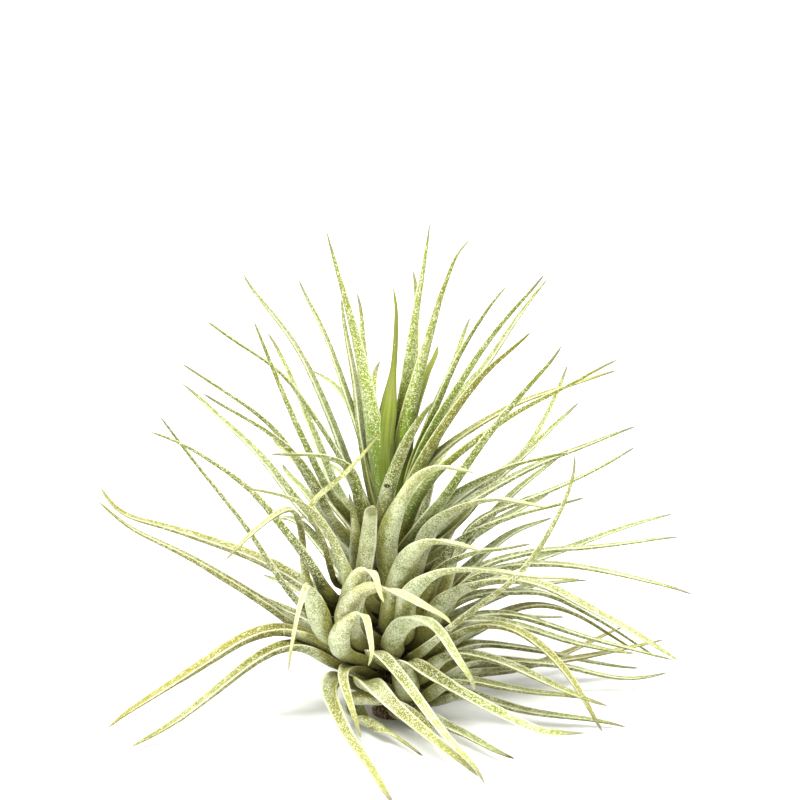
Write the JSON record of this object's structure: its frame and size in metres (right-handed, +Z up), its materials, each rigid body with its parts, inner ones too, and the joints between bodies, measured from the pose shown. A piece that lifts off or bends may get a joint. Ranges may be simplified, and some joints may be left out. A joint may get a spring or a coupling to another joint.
{
  "type": "air plant",
  "caption": "Living air plant: a soil-less rosette of narrow silvery-green channelled leaves arching out of a plump bulb round a short woody stem, for a shelf or a dish.",
  "frame": {"origin": "middle of the small flat end of the stem, on the surface the plant rests on", "axes": "+Z up along the stem, +X to the right and +Y away from the viewer of the picture"},
  "size_m": [0.1308, 0.1086, 0.1069],
  "materials": {
    "leaf_grey_green": "matt, frosted with fine silvery scales",
    "leaf_olive": "matt, dull olive",
    "leaf_young_green": "satin, fresh green",
    "stem_wood": "dry, fibrous, matt"
  },
  "bodies": {
    "root": {"stem": "stem_wood", "heart": "leaf_young_green", "leaf_left_1": "leaf_grey_green", "leaf_left_2": "leaf_grey_green", "leaf_left_3": "leaf_grey_green", "leaf_left_4": "leaf_grey_green", "leaf_left_5": "leaf_grey_green", "leaf_left_6": "leaf_grey_green", "leaf_left_7": "leaf_grey_green", "leaf_left_8": "leaf_olive", "leaf_left_9": "leaf_grey_green", "leaf_left_10": "leaf_grey_green", "leaf_right_1": "leaf_grey_green", "leaf_right_2": "leaf_grey_green", "leaf_right_3": "leaf_grey_green", "leaf_right_4": "leaf_grey_green", "leaf_right_5": "leaf_grey_green", "leaf_right_6": "leaf_grey_green", "leaf_right_7": "leaf_grey_green", "leaf_right_8": "leaf_grey_green", "leaf_right_9": "leaf_grey_green", "leaf_right_10": "leaf_grey_green", "leaf_right_11": "leaf_grey_green", "leaf_right_12": "leaf_grey_green", "leaf_right_13": "leaf_grey_green", "leaf_right_14": "leaf_olive", "leaf_right_15": "leaf_grey_green", "leaf_right_16": "leaf_grey_green", "leaf_right_17": "leaf_olive", "leaf_right_18": "leaf_grey_green", "leaf_right_19": "leaf_grey_green", "leaf_right_20": "leaf_grey_green", "leaf_right_21": "leaf_olive", "leaf_right_22": "leaf_grey_green", "leaf_right_23": "leaf_grey_green", "leaf_right_24": "leaf_grey_green", "leaf_right_25": "leaf_grey_green", "leaf_right_26": "leaf_grey_green", "leaf_front_1": "leaf_grey_green", "leaf_front_2": "leaf_grey_green", "leaf_front_3": "leaf_grey_green", "leaf_front_4": "leaf_grey_green", "leaf_front_5": "leaf_grey_green", "leaf_front_6": "leaf_grey_green", "leaf_front_7": "leaf_grey_green", "leaf_front_8": "leaf_grey_green", "leaf_front_9": "leaf_grey_green", "leaf_front_10": "leaf_grey_green", "leaf_front_11": "leaf_grey_green", "leaf_front_12": "leaf_grey_green", "leaf_left_11": "leaf_grey_green", "leaf_back_1": "leaf_grey_green", "leaf_back_2": "leaf_grey_green", "leaf_back_3": "leaf_grey_green", "leaf_back_4": "leaf_grey_green", "leaf_back_5": "leaf_grey_green", "leaf_back_6": "leaf_grey_green", "leaf_back_7": "leaf_grey_green", "leaf_back_8": "leaf_grey_green", "leaf_back_9": "leaf_grey_green"}
  },
  "joints": []
}
